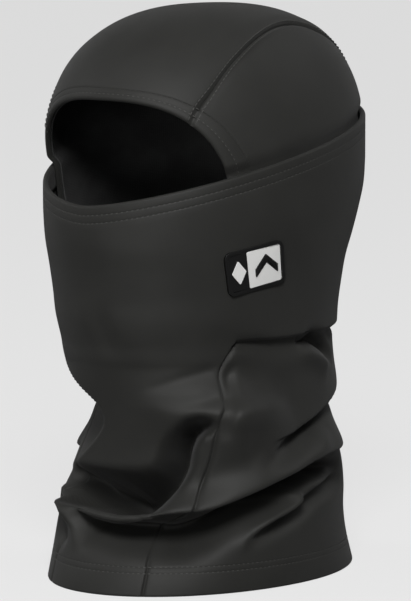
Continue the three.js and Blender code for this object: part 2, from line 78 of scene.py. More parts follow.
MASK_EDGE = 77.5  # above the jaw seam, at the nose
MASK_EDGE_RISE = 48
MASK_HEM = 14
MASK_HEM_ROWS = (5.5, 10)
BOTTOM_HEM = 17
BOTTOM_HEM_ROWS = (12.6, 15.9)

FACE_HALF_WIDTH = 68
FACE_CENTRE = JAW + 60
FACE_RISE = 76.3
FACE_SQUARENESS_LEFT = 3.2
FACE_SQUARENESS_RIGHT = 2.35  # worn a little slack on this side
FACE_FOOT_HALF_WIDTH = 50
FACE_HEM = 10
FACE_HEM_ROWS = (3.2, 6.2)
CROWN_ROW_OFFSET = 1.2

# Rows of the skin: height as a share of its stretch, then how far it stands in at the side, face and nape.
NECK_ROWS = [
    (0, 4, -1, 9), (0.14, 4.5, 6, 18), (0.24, 5, 10.5, 21), (0.34, 5.5, 16.5, 20), (0.44, 7, 26, 21),
    (0.54, 9, 37, 26), (0.64, 12, 46, 30), (0.73, 14, 51, 30), (0.79, 13.5, 33, 28), (0.88, 12.5, 14, 27),
]
CHEEK_ROWS = [
    (0, 11, 8, 27), (0.13, 8.5, 5, 25), (0.27, 6.5, 4, 23), (0.42, 4.5, 2, 20), (0.57, 2.5, -0.5, 13),
    (0.71, 1, -1, 7), (0.85, 0, -0.5, 2), (1, 0, 0, 0),
]
SKIN_ROWS = np.array(
    [(share * JAW, *insets) for share, *insets in NECK_ROWS]
    + [(JAW + share * (WIDEST - JAW), *insets) for share, *insets in CHEEK_ROWS],
    float,
)
# Left crown seam: y, then its distance from the middle of the head.
CROWN_SEAM_ROWS = np.array([(-100, 50), (-76, 53), (-62, 56), (-48, 56.2), (-31, 54.5), (-10, 50.3),
                            (6, 46.3), (24, 42.5), (60, 40), (107, 38)], float)
# Left neck seam: height as a share of the neck, then its angle.
NECK_SEAM_ROWS = np.array([(0, 27), (0.24, 27), (0.33, 37), (0.42, 40), (0.7, 43), (0.8, 49),
                           (1, 62)], float)


# ---------------------------------------------------------------- shape functions
def smoothstep(value, low, high):
    t = np.clip((value - low) / (high - low), 0, 1)
    return t * t * (3 - 2 * t)


def read_rows(rows, position):
    """Smooth values between rows, as in the part's source. Returns one array for each column."""
    position = np.asarray(position, float)
    last = len(rows) - 1
    index = np.clip(np.searchsorted(rows[:, 0], position) - 1, 0, last - 1)
    start, end = rows[index], rows[index + 1]
    before, after = rows[np.maximum(index - 1, 0)], rows[np.minimum(index + 2, last)]
    span = end[..., :1] - start[..., :1]
    t = np.clip((position[..., None] - start[..., :1]) / span, 0, 1)
    leave = span * (end - before) / (end[..., :1] - before[..., :1])
    arrive = span * (after - start) / (after[..., :1] - start[..., :1])
    rise = end - start
    value = start + t * (leave + t * (3 * rise - 2 * leave - arrive + t * (leave + arrive - 2 * rise)))
    return [value[..., column] for column in range(1, rows.shape[1])]


def skin_half_axes(angle, height, inset):
    side_in, face_in, nape_in = read_rows(SKIN_ROWS, np.minimum(height, WIDEST))
    share = np.clip((height - WIDEST) / CROWN_RISE, 0, 1)
    side = (HEAD_HALF_BREADTH - side_in - inset) * (1 - share**SQUARENESS_SIDE) ** (1 / SQUARENESS_SIDE)
    is_face = np.cos(np.radians(angle)) > 0
    reach = np.where(is_face, FACE_REACH - face_in, NAPE_REACH - nape_in)
    squareness = np.where(is_face, SQUARENESS_FACE, SQUARENESS_NAPE)
    return side, (reach - inset) * (1 - share**squareness) ** (1 / squareness)


def alike(*values):
    """Numbers and arrays as arrays of the same shape."""
    return np.broadcast_arrays(*(np.asarray(value, float) for value in values))


def skin_point(angle, height, inset=0.0):
    """Points of the skin, or of a layer inset from it, at angles and heights."""
    angle, height, inset = alike(angle, height, inset)
    side, reach = skin_half_axes(angle, height, inset)
    turn = np.radians(angle)
    rise = np.clip(height - WIDEST, 0, CROWN_RISE)
    level = height - rise * inset / CROWN_RISE
    return np.stack([side * np.sin(turn), -reach * np.cos(turn), level], axis=-1)


def mask_edge(angle):
    return JAW + MASK_EDGE + MASK_EDGE_RISE * np.abs(np.sin(np.radians(angle) / 2)) ** 1.5


def neck_seam(height):
    return read_rows(NECK_SEAM_ROWS, np.clip(np.asarray(height, float) / JAW, 0, 1))[0]


def hood_inset(angle, height):
    """How far the hood stands in: nothing above the mask's edge, then under the mask, then the collar."""
    edge = mask_edge(angle) + HOOD_STEP_START
    covered = 1 - smoothstep(height, edge, edge + HOOD_STEP)
    tucked = 1 - smoothstep(height, TUCK_START, TUCK_END)
    return covered * (UNDER_MASK + (UNDER_COLLAR - UNDER_MASK) * tucked)


# ---------------------------------------------------------------- folds of the outer tube
JAW_OVERHANG = 1.8  # of the mask's lower edge over the neck side
JAW_TUCK = 2.4
CREASE_DEPTH = 2.2  # of the crease beside each crown seam, over the top of the head
UNROLLED = math.radians(1) * 78  # millimetres round the neck for each degree

# Each fold has a line of (angle, height) points, which its crest or its bottom follows, then:
#   lift, how far it stands out (in, below 0), and drop, how far its fabric sags;
#   above and below, its reach to each side of the line;
#   fade, the shares of its length over which it dies out at its start and at its end;
#   power, how square its section is, which is 2 where it isn't given.
# Lift, drop, above, below and power are each one number, or several that lie evenly along the line.
FOLDS = [
    # the deep hollow under the chin, the roll of fabric under it and the shadow under that
    ([(-54, 55), (-42, 56), (-30, 57), (-16, 57), (-4, 57), (8, 57), (18, 58), (25, 63), (28, 71),
      (29, 81), (32, 90), (37, 95), (44, 93)],
     (-3, -14, -36, -46, -46, -42, -36, -28, -20), (0, -3, -15, -20, -20, -15, -8, -3, -2),
     (3, 5, 7, 8, 8, 8, 7, 5, 4), (3, 5, 7, 8, 8, 8, 7, 5, 4), (0.2, 0.1), (3.5, 3.5, 3.5, 3, 2.2, 2.2)),
    ([(-46, 53), (-36, 52), (-24, 51), (-10, 50), (2, 49), (12, 48), (20, 49), (30, 51), (44, 53),
      (54, 58), (65, 64), (79, 71), (92, 75), (106, 76), (124, 76), (150, 72)],
     (1, 8, 10, 10, 10, 10, 7, 3), (-3.5, -3.5, -3.5, -3.5, -3.5, -2), (3, 3, 3, 9, 12, 12, 12),
     (4, 4, 3), (0.2, 0.2)),
    ([(-21, 39), (-8, 37), (0, 36), (12, 35), (22, 35), (36, 34), (46, 37), (56, 44), (66, 51), (79, 57),
      (92, 61), (105, 61), (128, 59)],
     (-20, -26, -28, -28, -24, -20), 0, (4, 4, 5, 5, 4, 4), (7, 9, 11, 7, 4, 4), (0.1, 0.2)),
    # the foot that runs down from the roll's left end
    ([(-32, 50), (-23, 45), (-15, 36), (-8, 22)], 8, 0, 5, 5, (0.25, 0.4)),
    ([(-42, 44), (-34, 38), (-26, 30), (-19, 20)], -8, 0, 4, 6, (0.35, 0.4)),
    # beside the neck seam
    ([(62, 130), (55, 117), (49, 107), (46, 98), (46, 84)], -3, 0, 3, 2.5, (0.25, 0.25)),
    ([(63, 124), (58, 112), (53, 102), (52, 90), (53, 76), (56, 64)], 1.6, 0, 8, 5, (0.25, 0.3)),
    # under the jaw seam
    ([(58, 140), (70, 139), (82, 135), (96, 136), (112, 136), (140, 136)], -3, 0, 3, 6, (0.15, 0.2)),
    ([(90, 138), (102, 137), (114, 130), (126, 121)], -8, 0, 3.5, 3, (0.2, 0.3)),
    ([(90, 133), (104, 126), (118, 117)], 3.5, 0, 2.5, 6, (0.3, 0.3)),
    # the diagonal crease of the side: its overhang, its bottom and the ridge under it
    ([(168, 112), (142, 110), (118, 104), (93, 96), (79, 91), (68, 86), (60, 79)],
     4, -5.5, 12, 2.5, (0.3, 0.25)),
    ([(164, 103), (140, 101), (116, 96), (93, 87), (79, 81), (68, 75), (60, 68)],
     -10, 0, 3.5, 4, (0.2, 0.25)),
    ([(110, 90), (96, 82), (80, 74), (66, 66)], 3, 0, 3.5, 6, (0.3, 0.3)),
    # the hairpin over the hem, its inside, the crease under it and the ridge above that
    ([(50, 45), (59, 48), (69, 50), (76, 52), (82, 53), (85, 50), (83, 46), (77, 42), (70, 38), (64, 31),
      (61, 20)],
     5.5, 0, 3, 3, (0.15, 0.25)),
    ([(60, 43), (70, 46), (80, 49)], -4, 0, 3, 3, (0.3, 0.3)),
    ([(130, 55), (109, 51), (98, 48), (90, 44), (82, 39), (74, 35), (67, 29), (64, 20)],
     -8, 0, 3.5, 5, (0.25, 0.3)),
    ([(84, 54), (99, 57), (122, 59)], 3.5, 0, 3, 3, (0.3, 0.3)),
    # the wearer's right side and the back
    ([(-60, 112), (-80, 104), (-104, 98), (-130, 96)], 5, -3, 10, 5, (0.3, 0.3)),
    ([(-56, 102), (-78, 94), (-104, 88), (-134, 86)], -8, 0, 4.5, 5, (0.3, 0.3)),
    ([(-50, 78), (-70, 72), (-92, 74), (-118, 80), (-146, 78)], 8, -4, 9, 5, (0.25, 0.3)),
    ([(-46, 62), (-68, 57), (-92, 60), (-120, 66), (-150, 63)], -10, 0, 4.5, 6, (0.25, 0.3)),
    ([(-66, 46), (-84, 42), (-102, 32), (-112, 20)], 4, 0, 4, 4, (0.3, 0.4)),
    ([(-92, 130), (-104, 122), (-120, 112)], -6, 0, 4, 3, (0.3, 0.3)),
    ([(146, 104), (172, 95), (196, 95), (218, 104)], 6, -3, 9, 5, (0.3, 0.3)),
    ([(148, 92), (172, 83), (198, 83), (220, 92)], -8, 0, 4.5, 5, (0.3, 0.3)),
    ([(152, 64), (176, 57), (198, 60), (216, 68)], 6, -3, 9, 5, (0.3, 0.3)),
    ([(154, 52), (176, 45), (200, 48), (218, 56)], -8, 0, 4.5, 6, (0.3, 0.3)),
    # faint pulls across the mask
    ([(14, 112), (34, 119), (56, 127)], -1.2, 0, 3, 3, (0.4, 0.2)),
    ([(22, 104), (38, 108), (50, 114)], -1, 0, 3, 3, (0.4, 0.2)),
    ([(2, 166), (8, 146), (12, 128)], -1.4, 0, 7, 7, (0.4, 0.4)),
]


def smooth_line(points, steps=8):
    """A smooth curve through points, as rows of points."""
    points = np.array(points, float)
    around = np.vstack([2 * points[0] - points[1], points, 2 * points[-1] - points[-2]])
    t = np.linspace(0, 1, steps, endpoint=False)[:, None]
    pieces = []
    for a, b, c, d in zip(around, around[1:], around[2:], around[3:]):
        pieces.append(0.5 * (2 * b + t * (c - a) + t**2 * (2 * a - 5 * b + 4 * c - d)
                             + t**3 * (3 * b - a - 3 * c + d)))
    return np.vstack([*pieces, points[-1:]])


def near_line(line, angle, height):
    """Signed distance from a line, above it positive, and how far along it the nearest point is."""
    curve = smooth_line(line)
    middle = (curve[:, 0].min() + curve[:, 0].max()) / 2
    across = ((angle - middle + 180) % 360 - 180) * UNROLLED
    curve = np.column_stack([(curve[:, 0] - middle) * UNROLLED, curve[:, 1]])
    side = -1 if curve[-1, 0] < curve[0, 0] else 1
    steps = np.diff(curve, axis=0)
    lengths = np.hypot(*steps.T)
    travelled = np.concatenate([[0], np.cumsum(lengths)])
    best = np.full(across.shape, np.inf)
    along = np.zeros(across.shape)
    sign = np.ones(across.shape)
    for start, step, length, passed in zip(curve, steps, lengths, travelled):
        from_start = (across - start[0], height - start[1])
        t = np.clip((from_start[0] * step[0] + from_start[1] * step[1]) / length**2, 0, 1)
        distance = np.hypot(from_start[0] - t * step[0], from_start[1] - t * step[1])
        closer = distance < best
        best = np.where(closer, distance, best)
        along = np.where(closer, (passed + t * length) / travelled[-1], along)
        sign = np.where(closer, np.sign(step[0] * from_start[1] - step[1] * from_start[0]) * side, sign)
    return best * sign, along


# The front of the neck hangs straight from the mask. Height, then how far in it is where it does.
HANG_ROWS = np.array([(34, 10.5), (48, 15), (58, 19), (70, 21), (84, 21), (98, 19), (110, 16),
                      (123, 12.5), (140, 8)], float)
# Its sharp edge on the wearer's right: height, then angle.
HANG_EDGE_ROWS = np.array([(48, -44), (60, -27), (68, -20), (76, -12), (85, -5), (94, -1), (104, -3),
                           (114, -14), (127, -34)], float)
HANG_EDGE_WIDTH = 7
HANG_FADE = (44, 88)  # angles over which it passes into the side
HEM_CALM = (1, 16)  # heights over which the folds start


def hang_out(angle, height):
    """How far the front of the neck hangs out of the skin."""
    edge = read_rows(HANG_EDGE_ROWS, height)[0]
    wrapped = (angle + 180) % 360 - 180
    share = smoothstep(wrapped, edge - HANG_EDGE_WIDTH, edge) * (1 - smoothstep(wrapped, *HANG_FADE))
    skin_in = read_rows(SKIN_ROWS, height)[1]
    return np.clip(skin_in - read_rows(HANG_ROWS, height)[0], 0, None) * share


def fold_shift(angle, height):
    """How far the folds move the tube's fabric out and up."""
    out = hang_out(angle, height)
    up = np.zeros(angle.shape)
    for line, *sizes, (start, end), power in ((*fold, 2)[:7] for fold in FOLDS):
        distance, along = near_line(line, angle, height)
        lift, drop, above, below, power = (
            np.interp(along, np.linspace(0, 1, np.size(value)), np.atleast_1d(value))
            for value in (*sizes, power)
        )
        reach = np.where(distance > 0, above, below)
        share = np.exp(-(np.abs(distance / reach) ** power))
        share = share * smoothstep(along, 0, start) * smoothstep(1 - along, 0, end)
        out += lift * share
        up += drop * share
    calm = smoothstep(height, *HEM_CALM)
    return out * calm, up * calm


def tube_point(angle, height, lift=0.0):
    """Points of the outer tube: the neck with its folds, then the mask, which stays upright."""
    angle, height = alike(angle, height)
    base = skin_point(angle, np.minimum(height, WIDEST))
    side, reach = skin_half_axes(angle, np.minimum(height, WIDEST), 0.0)
    turn = np.radians(angle)
    normal = np.stack([reach * np.sin(turn), -side * np.cos(turn)], axis=-1)
    normal /= np.linalg.norm(normal, axis=-1, keepdims=True)
    out, up = fold_shift(angle, height)
    shift = (out + lift)[..., None]
    return np.concatenate([base[..., :2] + normal * shift, (height + up)[..., None]], axis=-1)


def tube_normal(angle, height):
    """Outward normals of the outer tube."""
    step = 0.6
    across = tube_point(angle + step, height) - tube_point(angle - step, height)
    along = tube_point(angle, height + step) - tube_point(angle, height - step)
    normal = np.cross(across, along)
    return normal / np.linalg.norm(normal, axis=-1, keepdims=True)


# ---------------------------------------------------------------- mesh helpers
def make_mesh(name, points, faces, material, cloth=None):
    """A smooth-shaded object from points in millimetres. cloth holds each point's place in the cloth."""
    mesh = bpy.data.meshes.new(name)
    mesh.from_pydata((np.asarray(points) * METRES).tolist(), [], [tuple(map(int, f)) for f in faces])
    mesh.polygons.foreach_set("use_smooth", [True] * len(mesh.polygons))
    if cloth is not None:
        attribute = mesh.attributes.new("cloth", "FLOAT_VECTOR", "POINT")
        attribute.data.foreach_set("vector", np.column_stack([cloth, np.zeros(len(cloth))]).ravel())
    mesh.update()
    mesh.materials.append(material)
    piece = bpy.data.objects.new(name, mesh)
    bpy.context.scene.collection.objects.link(piece)
    return piece


def grid_faces(rows, columns, wraps=False):
    """Quads of a grid whose rows go up and whose columns go leftwards."""
    index = np.arange(rows * columns).reshape(rows, columns)
    right = np.roll(index, -1, axis=1) if wraps else index[:, 1:]
    left = index if wraps else index[:, :-1]
    return np.stack([left[:-1], right[:-1], right[1:], left[1:]], axis=-1).reshape(-1, 4)


def point_normals(points, faces):
    a, b, c, d = (points[faces[:, corner]] for corner in range(4))
    face_normals = np.cross(c - a, d - b)
    normals = np.zeros_like(points)
    for corner in range(4):
        np.add.at(normals, faces[:, corner], face_normals)
    return normals / np.maximum(np.linalg.norm(normals, axis=1, keepdims=True), 1e-9)


RIM_BULGE = 0.3


def shell(name, points, faces, thickness, material, cloth, rim_steps=4):
    """Fabric of a thickness behind an outer surface, closed, with rounded edges."""
    used, faces = np.unique(faces, return_inverse=True)
    faces = faces.reshape(-1, 4)
    points, cloth = np.asarray(points)[used], np.asarray(cloth)[used]
    normals = point_normals(points, faces)
    count = len(points)
    edges = np.stack([faces, np.roll(faces, -1, axis=1)], axis=-1).reshape(-1, 2)
    known = {tuple(edge) for edge in edges.tolist()}
    border = [edge for edge in edges.tolist() if (edge[1], edge[0]) not in known]
    outward = np.zeros((count, 3))
    for start, end in border:
        side = np.cross(points[end] - points[start], normals[start])
        outward[start] += side
        outward[end] += side
    rim = sorted({corner for edge in border for corner in edge})
    outward[rim] /= np.linalg.norm(outward[rim], axis=1, keepdims=True)
    layers = [points, points - normals * thickness]
    place = [cloth, cloth]
    all_faces = [faces, faces[:, ::-1] + count]
    order = {corner: k for k, corner in enumerate(rim)}
    rings = [np.array(rim)]
    total = 2 * count
    for step in range(1, rim_steps):
        turn = math.pi * step / rim_steps
        into = thickness / 2 * (1 - math.cos(turn))
        out = RIM_BULGE * math.sin(turn)
        layers.append(points[rim] - normals[rim] * into + outward[rim] * out)
        place.append(cloth[rim])
        rings.append(np.arange(total, total + len(rim)))
        total += len(rim)
    rings.append(np.array(rim) + count)
    for near, far in zip(rings, rings[1:]):
        walls = [(near[order[e]], near[order[s]], far[order[s]], far[order[e]]) for s, e in border]
        all_faces.append(np.array(walls))
    return make_mesh(name, np.vstack(layers), np.vstack(all_faces), material, np.vstack(place))


def spaced(length, step, near_start=(), near_end=()):
    """Places from 0 to length about a step apart, with closer ones at chosen distances from the ends."""
    low = max(near_start, default=0)
    high = length - max(near_end, default=0)
    middle = np.linspace(low, high, max(2, round((high - low) / step) + 1))
    ends = [0, length, *near_start, *(length - place for place in near_end)]
    return np.unique(np.round(np.concatenate([middle, ends]), 4))


# ---------------------------------------------------------------- materials
COURSES_PER_WALE = 1.2
YARN_SHARE = 0.4  # of the yarn's grain in the relief
TONE_PATCH = 35  # length of the slow changes of tone
GLOSS_SPREAD = 0.06


def srgb(level):
    """A grey or a colour, from 0 to 255 as on a screen, as linear light."""
    values = np.atleast_1d(np.asarray(level, float)) / 255
    linear = np.where(values <= 0.04045, values / 12.92, ((values + 0.055) / 1.055) ** 2.4)
    return (*np.resize(linear, 3), 1.0)


def new_material(name, colour, roughness, sheen=0.0, sheen_roughness=0.5, specular=0.5):
    material = bpy.data.materials.new(name)
    material.use_nodes = True
    shader = material.node_tree.nodes["Principled BSDF"]
    shader.inputs["Base Color"].default_value = srgb(colour)
    shader.inputs["Roughness"].default_value = roughness
    shader.inputs["Specular IOR Level"].default_value = specular
    shader.inputs["Sheen Weight"].default_value = sheen
    shader.inputs["Sheen Roughness"].default_value = sheen_roughness
    return material


def add_node(owner, kind, inputs=(), **settings):
    """A node of a material or a world, with its settings and then the values of its inputs."""
    node = owner.node_tree.nodes.new(kind)
    for name, value in settings.items():
        setattr(node, name, value)
    for name, value in dict(inputs).items():
        node.inputs[name].default_value = value
    return node


def wire(source, output, target, entry):
    source.id_data.links.new(source.outputs[output], target.inputs[entry])


def knit_material(name, dark, light, roughness, sheen, wale, depth, specular=0.5, grain=0.25):
    """Fine knitted fabric: ribs a wale apart, yarn grain, and slow changes of tone and gloss."""
    material = new_material(name, dark, roughness, sheen, specular=specular)
    shader = material.node_tree.nodes["Principled BSDF"]
    per_wale = 2 * math.pi / wale / 20  # a wave texture's scale of 1 is 20 radians for each unit
    wave, noise, maths = "ShaderNodeTexWave", "ShaderNodeTexNoise", "ShaderNodeMath"
    place = add_node(material, "ShaderNodeAttribute", attribute_name="cloth")
    ribs = add_node(material, wave, {"Scale": per_wale, "Distortion": 0.6}, bands_direction="X")
    courses = add_node(material, wave, {"Scale": per_wale * COURSES_PER_WALE}, bands_direction="Y")
    yarn = add_node(material, noise, {"Scale": 1 / wale, "Detail": 3})
    slow = add_node(material, noise, {"Scale": 1 / TONE_PATCH, "Detail": 4})
    for texture in (ribs, courses, yarn, slow):
        wire(place, "Vector", texture, "Vector")
    crossed = add_node(material, maths, operation="MULTIPLY")
    wire(ribs, "Fac", crossed, 0)
    wire(courses, "Fac", crossed, 1)
    mixed = add_node(material, "ShaderNodeMix", {"Factor": YARN_SHARE})
    wire(crossed, "Value", mixed, "A")
    wire(yarn, "Fac", mixed, "B")
    tone = add_node(material, maths, {1: grain}, operation="MULTIPLY_ADD")
    wire(mixed, "Result", tone, 0)
    wire(slow, "Fac", tone, 2)
    ramp = add_node(material, "ShaderNodeMapRange", {"From Min": 0.3, "From Max": 0.9})
    wire(tone, "Value", ramp, "Value")
    colour = add_node(material, "ShaderNodeMix", {"A": srgb(dark), "B": srgb(light)}, data_type="RGBA")
    wire(ramp, "Result", colour, "Factor")
    wire(colour, "Result", shader, "Base Color")
    near = {"To Min": roughness - GLOSS_SPREAD, "To Max": roughness + GLOSS_SPREAD}
    gloss = add_node(material, "ShaderNodeMapRange", near)
    wire(slow, "Fac", gloss, "Value")
    wire(gloss, "Result", shader, "Roughness")
    bump = add_node(material, "ShaderNodeBump", {"Strength": 0.6, "Distance": depth * METRES})
    wire(mixed, "Result", bump, "Height")
    wire(bump, "Normal", shader, "Normal")
    return material


SHELL = knit_material("shell_knit", (35, 35, 33), (45, 45, 43), roughness=0.56, sheen=0.06, wale=0.55,
                      depth=0.16, specular=0.3, grain=0.4)
RIBBED = knit_material("lining_rib", (36, 36, 36), (84, 84, 84), roughness=0.9, sheen=0.0, wale=1.1,
                       depth=0.35, specular=0.15)
THREAD = new_material("sewing_thread", (74, 74, 72), roughness=0.6)
RUBBER_DARK = new_material("patch_rubber_dark", (14, 14, 14), roughness=0.45)
RUBBER_LIGHT = new_material("patch_rubber_light", (240, 240, 238), roughness=0.5)
TAPE = knit_material("woven_label", (30, 30, 30), (40, 40, 40), roughness=0.8, sheen=0.1, wale=0.6,
                     depth=0.1)


# ---------------------------------------------------------------- outer tube
STRIP_ENDS = (18, 136)  # heights of the strips behind the neck's seams
STRIP_WIDTH = 7
STRIP_THICKNESS = 0.9
STRIP_STEP = 2
LABEL_ENDS = (114, 131)
LABEL_WIDTH = 24
LABEL_THICKNESS = 0.5
EDGE_ROWS = (0.35, 0.8, 1.4, 2.4)
SEAM_DEPTH = 1.6
FINE = 1.5  # spacing of the points in the folded neck
STITCH_DENT = (-0.8, -0.4, -0.15, 0, 0.15, 0.4, 0.8)  # places across a stitch row that shape its dent
FOLD_RADIUS = 1.6  # of fabric folded back on itself
JAW_SEAM_ANGLE = 62
JAW_OVERLAP = 2  # of the neck side's upper edge with the mask
JAW_TUCK_REACH = 7
OVERHANG_REACH = 9
OVERHANG_START = 11  # degrees past the jaw seam's front end over which the overhang grows
MASK_FIRST_ROWS = (0.005, 0.012, 0.02)  # shares of the mask's height, close to the jaw seam
HEM_SEAM_LEVEL = 8  # height at which the neck seam gives the bottom hem's seam its angle
FAR_AWAY = 50  # a distance at which a seam has no effect
TINY = 1e-6


def turned_in(distance, depth=SEAM_DEPTH, reach=1.1):
    """How far fabric turns in towards its seam, at a distance from it."""
    return -depth * np.exp(-((distance / reach) ** 2))


def hem_relief(distance, rows, depth=0.2, reach=0.4):
    """The dents that stitch rows pull into a hem, at a distance from its edge."""
    return sum(-depth * np.exp(-(((distance - row) / reach) ** 2)) for row in rows)


def around_rows(rows, low, high):
    """Distances close together around stitch rows, between two ends."""
    near = [row + offset for row in rows for offset in STITCH_DENT]
    return np.unique(np.round([low, high, *(place for place in near if low < place < high)], 3))


def folded_edge(outside, inside):
    """Profile of fabric folded over an edge: distances from the edge with how far out it is there.

    It runs down the outside from the edge's top to outside, and on the inside to inside.
    """
    turns = np.linspace(-math.pi / 2, math.pi / 2, 9)
    over = [(FOLD_RADIUS * (1 - math.cos(turn)), -FOLD_RADIUS * (1 + math.sin(turn))) for turn in turns]
    outer = [(place, 0) for place in outside[outside > FOLD_RADIUS][::-1]]
    inner = [(place, -2 * FOLD_RADIUS) for place in np.linspace(FOLD_RADIUS, inside, 6)[1:]]
    return np.array(outer + over + inner)


def cloth_place(angles, heights):
    return np.column_stack([(angles * UNROLLED).ravel(), heights.ravel()])


def seam_columns():
    """Angles right round the tube, as shares of the front seam's angle and as angles past it."""
    close = np.array(EDGE_ROWS) / 70
    front = np.concatenate([np.linspace(-1, 1, 121), 1 - close, close - 1])
    side = spaced(1, 1 / 110, [step / 180 for step in EDGE_ROWS], [step / 180 for step in EDGE_ROWS])
    return np.unique(np.round(front, 5)), side


def tube_cloth(name, nodes, angles, heights, lift, faces, thickness=FABRIC, material=SHELL, along=None):
    """A piece of the tube's fabric over a grid of angles and heights, standing for CAD nodes."""
    points = tube_point(angles, heights, lift).reshape(-1, 3)
    place = cloth_place(angles, heights if along is None else along)
    piece = shell(name, points, faces, thickness, material, place)
    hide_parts(*nodes)
    return piece


def neck_rows(top, *extra):
    """Heights of the neck's rows of points, from the bottom hem's upper stitch row to a top."""
    dent = [BOTTOM_HEM_ROWS[1] + offset for offset in (0, *STITCH_DENT[-2:])]
    return np.unique(np.concatenate([dent, BOTTOM_HEM + spaced(top - BOTTOM_HEM, FINE), extra]))


def wrap_panel():
    """The wrap-around panel: the front of the neck, then the whole mask."""
    front, side = seam_columns()
    past = JAW_SEAM_ANGLE + side[1:] * (180 - JAW_SEAM_ANGLE)
    columns = np.concatenate([-past[::-1], front * JAW_SEAM_ANGLE, past])
    share = np.concatenate([0 * past, front, 0 * past])
    is_front = np.abs(columns) <= JAW_SEAM_ANGLE + TINY
    low = neck_rows(JAW, JAW - EDGE_ROWS[-1])
    rise = np.unique(np.concatenate([MASK_FIRST_ROWS, np.linspace(0, 1, 40)[1:]]))
    below_edge = around_rows(MASK_HEM_ROWS, MASK_HEM_ROWS[1], MASK_HEM)[::-1]
    top = mask_edge(columns)
    angles = [np.where(is_front, share * neck_seam(height), columns) for height in low]
    heights = [np.full(len(columns), height) for height in low]
    heights += [JAW + part * (top - MASK_HEM - JAW) for part in rise]
    heights += [top - distance for distance in below_edge[1:]]
    angles += [columns] * (len(heights) - len(low))
    angles, heights = np.array(angles), np.array(heights)
    to_seam = (neck_seam(heights) - np.abs(angles)) * UNROLLED
    lift = np.where(heights < JAW, turned_in(np.maximum(to_seam, 0), 1.3, 0.7), 0)
    to_jaw = np.where(np.abs(angles) > JAW_SEAM_ANGLE, np.abs(heights - JAW), FAR_AWAY)
    overhang = JAW_OVERHANG * smoothstep(np.abs(angles), JAW_SEAM_ANGLE, JAW_SEAM_ANGLE + OVERHANG_START)
    lift += overhang * np.exp(-((to_jaw / OVERHANG_REACH) ** 2)) + turned_in(to_jaw, 1.4)
    lift += turned_in((180 - np.abs(angles)) * UNROLLED)
    lift += hem_relief(mask_edge(angles) - heights, MASK_HEM_ROWS)
    lift += hem_relief(heights, BOTTOM_HEM_ROWS)
    above_jaw = np.arange(len(heights) - 1) >= len(low) - 1
    middle = (columns[1:] + columns[:-1]) / 2
    keep = above_jaw[:, None] | (np.abs(middle) < JAW_SEAM_ANGLE)[None, :]
    faces = grid_faces(*heights.shape)[keep.ravel()]
    nodes = ("mask_panel", "front_neck_panel")
    return tube_cloth("mask_and_front_cloth", nodes, angles, heights, lift, faces)


def neck_side(side, node):
    """The side of the neck, from the curved front seam to the centre back, tucked in under the jaw seam."""
    share = seam_columns()[1]
    heights = np.repeat(neck_rows(JAW + JAW_OVERLAP)[:, None], len(share), axis=1)
    seam = neck_seam(np.minimum(heights, JAW))
    angles = seam + share * (180 - seam)
    edge = np.minimum(angles - seam, 180 - angles) * UNROLLED
    lift = turned_in(edge, 2.2, 1.8) + hem_relief(heights, BOTTOM_HEM_ROWS)
    lift -= JAW_TUCK * smoothstep(heights, JAW - JAW_TUCK_REACH, JAW)
    faces = grid_faces(*heights.shape)[:, ::side]
    return tube_cloth(node + "_cloth", [node], side * angles, heights, lift, faces)


def length_along(profile):
    return np.r_[0, np.cumsum(np.linalg.norm(np.diff(profile, axis=0), axis=1))]


def hem_round(name, profile, edge_height, up, columns, seams, node):
    """A folded hem that closes on itself round the tube. up is 1 where the edge is on top."""
    distance, out = profile[:, 0][:, None], profile[:, 1][:, None]
    angles = np.repeat(columns[None, :], len(profile), axis=0)
    heights = edge_height(angles) - up * distance
    rows = MASK_HEM_ROWS if up > 0 else BOTTOM_HEM_ROWS
    on_outside = out > -FOLD_RADIUS
    lift = out + np.where(on_outside, hem_relief(distance, rows), 0)
    for seam in seams:
        gap = np.abs((angles - seam + 180) % 360 - 180) * UNROLLED
        lift = lift + np.where(on_outside, turned_in(gap, 1.2, 0.9), 0)
    faces = grid_faces(len(profile), len(columns), wraps=True)[:, ::up]
    along = np.repeat(length_along(profile)[:, None], len(columns), axis=1)
    return tube_cloth(name, [node], angles, heights, lift, faces, along=along)


def bottom_edge(angle):
    return 0 * angle


def make_tube():
    front, side = seam_columns()
    hem_angle = float(neck_seam(HEM_SEAM_LEVEL))
    past = hem_angle + side[1:-1] * (180 - hem_angle)
    columns = np.concatenate([-past[::-1], front * hem_angle, past, [180]])
    low = folded_edge(around_rows(BOTTOM_HEM_ROWS, 0, BOTTOM_HEM_ROWS[1]), BOTTOM_HEM)
    high = folded_edge(around_rows(MASK_HEM_ROWS, 0, MASK_HEM_ROWS[1]), MASK_HEM)
    seams = (hem_angle, -hem_angle, 180)
    return [
        wrap_panel(),
        neck_side(1, "neck_side_left"),
        neck_side(-1, "neck_side_right"),
        hem_round("bottom_hem_cloth", low, bottom_edge, -1, columns, seams, "bottom_hem"),
        hem_round("mask_top_hem_cloth", high, mask_edge, 1, columns, (180,), "mask_top_hem"),
    ]


def inside_strip(name, angle_at, low, high, width, depth, thickness, material, node):
    """A strip behind the tube's fabric, which follows its folds."""
    across = np.linspace(-width / 2, width / 2, 7) / UNROLLED
    heights = np.repeat(spaced(high - low, STRIP_STEP)[:, None] + low, len(across), axis=1)
    angles = angle_at(heights) + across[None, :]
    faces = grid_faces(*heights.shape)
    return tube_cloth(name, [node], angles, heights, -depth, faces, thickness, material)


def right_neck_seam(height):
    return -neck_seam(height)


def centre_back(height):
    return 180 + 0 * height


